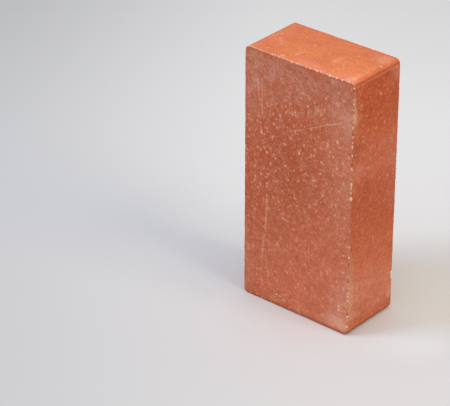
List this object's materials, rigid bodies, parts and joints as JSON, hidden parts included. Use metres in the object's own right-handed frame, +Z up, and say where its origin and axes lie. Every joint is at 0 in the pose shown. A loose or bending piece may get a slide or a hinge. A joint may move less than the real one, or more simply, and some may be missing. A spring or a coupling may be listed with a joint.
{
  "type": "hyper-pressed brick",
  "caption": "Solid red hyper-pressed facing brick with rounded upright edges and crisp bed outlines, standing on its header.",
  "frame": {"origin": "middle of the header that the brick stands on, at floor level", "axes": "+Z up along the brick's 250 mm length, X across its 120 mm width, Y through its 65 mm thickness; the bed face that the picture shows looks towards -Y and the stretcher that it shows looks towards +X"},
  "size_m": [0.12, 0.065, 0.25],
  "materials": {
    "pressed_mix": "matte"
  },
  "bodies": {
    "root": {"brick": "pressed_mix"}
  },
  "joints": []
}
